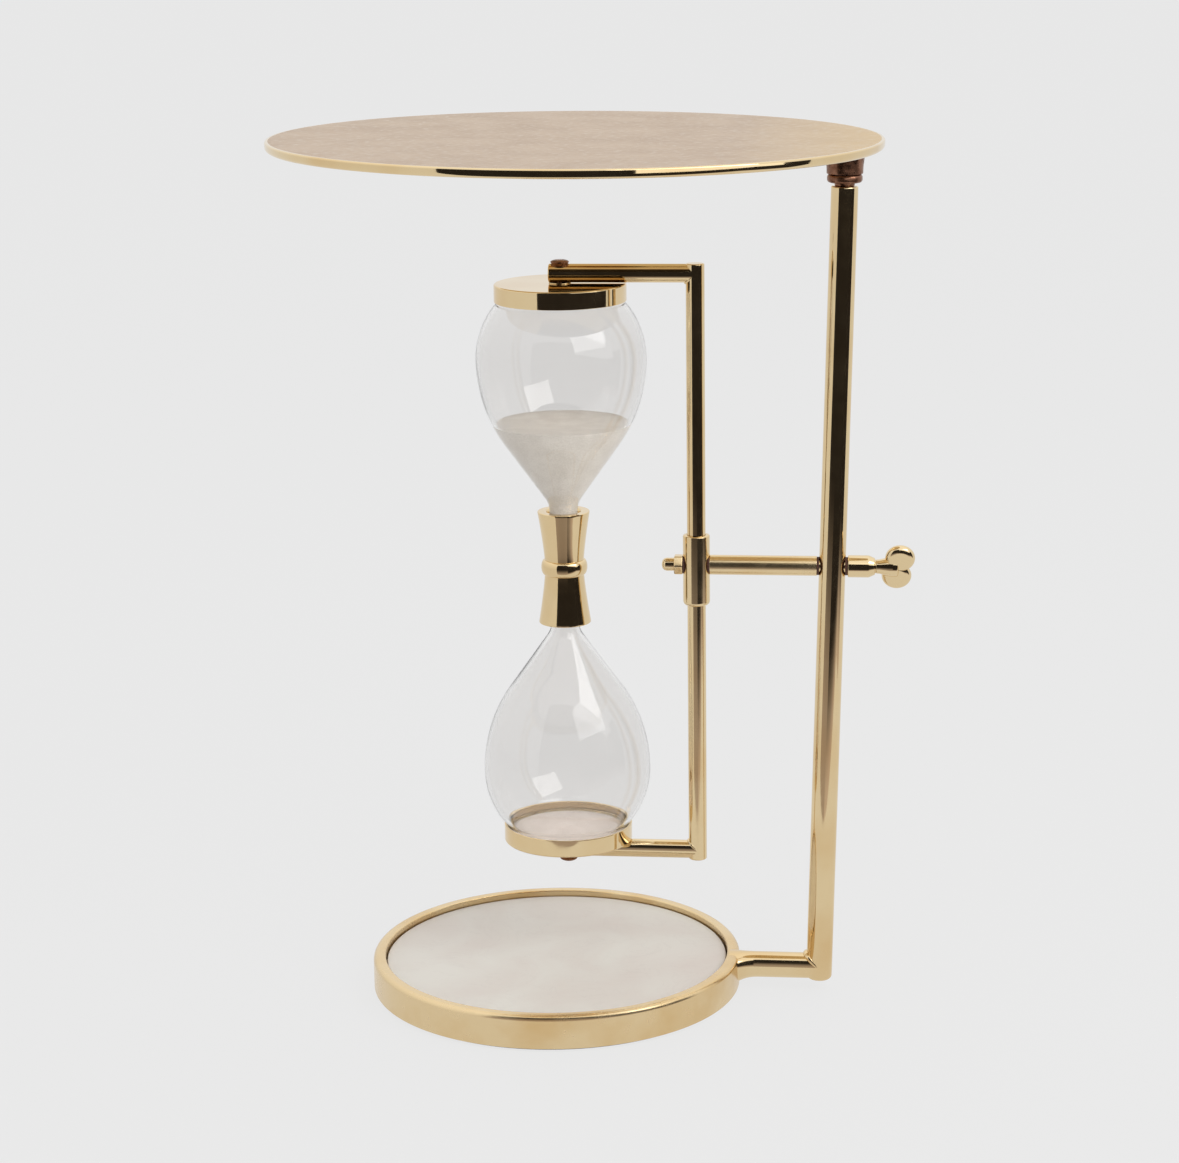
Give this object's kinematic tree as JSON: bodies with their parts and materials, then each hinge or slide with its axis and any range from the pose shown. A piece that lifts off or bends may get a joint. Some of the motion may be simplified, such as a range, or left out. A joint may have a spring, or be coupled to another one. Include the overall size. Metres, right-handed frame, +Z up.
{
  "type": "hourglass",
  "caption": "Sand glass in a brass frame that turns over on a clamped axle, on a leaning post with a marble-filled ring base and a round top disc.",
  "frame": {"origin": "centre of the base's felt underside, on the surface that the hourglass stands on", "axes": "+Z up; +X along the axle, from the glass towards the post and the wing nut; +Y to the back"},
  "size_m": [0.2393, 0.227, 0.3311],
  "materials": {
    "polished_brass": "polished mirror brass, pale gold",
    "satin_brass": "turned and satin polished brass",
    "cast_brass": "sand-cast brass, matte rough upper face, polished rim",
    "dark_bronze": "dark brown lacquered bronze",
    "marble": "honed pale marble with faint clouds",
    "felt": "pressed wool felt",
    "clear_glass": "clear blown glass",
    "sand": "fine pale quartz sand",
    "seal_rubber": "pale silicone rubber",
    "fibre": "dark red-brown vulcanised fibre"
  },
  "bodies": {
    "stand": {"base_ring": "satin_brass", "base_felt": "felt", "marble_disc": "marble", "post": "polished_brass", "top_disc": "cast_brass", "disc_washer": "dark_bronze", "post_washer": "dark_bronze", "disc_stud": "satin_brass"},
    "swing_frame": {"upper_bulb": "clear_glass", "lower_bulb": "clear_glass", "neck_collar": "polished_brass", "orifice_disc": "satin_brass", "sand": "sand", "sand_bed": "sand", "upper_cap": "polished_brass", "lower_cap": "polished_brass", "upper_seal": "seal_rubber", "lower_seal": "seal_rubber", "upper_arm_washer": "satin_brass", "lower_arm_washer": "satin_brass", "upper_cap_screw": "dark_bronze", "lower_cap_screw": "dark_bronze", "upper_arm": "polished_brass", "lower_arm": "polished_brass", "upper_upright": "polished_brass", "lower_upright": "polished_brass", "pivot_block": "polished_brass", "axle": "satin_brass", "axle_nut": "satin_brass", "nut_washer": "fibre", "block_washer": "fibre", "spacer_washer": "fibre", "collar_washer": "fibre", "spacer_tube": "polished_brass"},
    "collar": {"clamp_collar": "polished_brass"},
    "wing": {"wing_nut": "polished_brass"}
  },
  "joints": [
    {"name": "glass_turn", "type": "hinge", "parent": "stand", "child": "swing_frame", "pos_m": [0.0557, 0, 0.16926], "axis": [1, 0, 0], "continuous": true},
    {"name": "collar_slide", "type": "slide", "parent": "swing_frame", "child": "collar", "axis": [1, 0, 0], "range_m": [0, 0.0021]},
    {"name": "wing_nut_turn", "type": "hinge", "parent": "collar", "child": "wing", "pos_m": [0.1235, 0, 0.16926], "axis": [1, 0, 0], "range_deg": [0, 900]}
  ],
  "couplings": [
    {"joint": "collar_slide", "follows": "wing_nut_turn", "m_per_rad": 0.00012732}
  ]
}
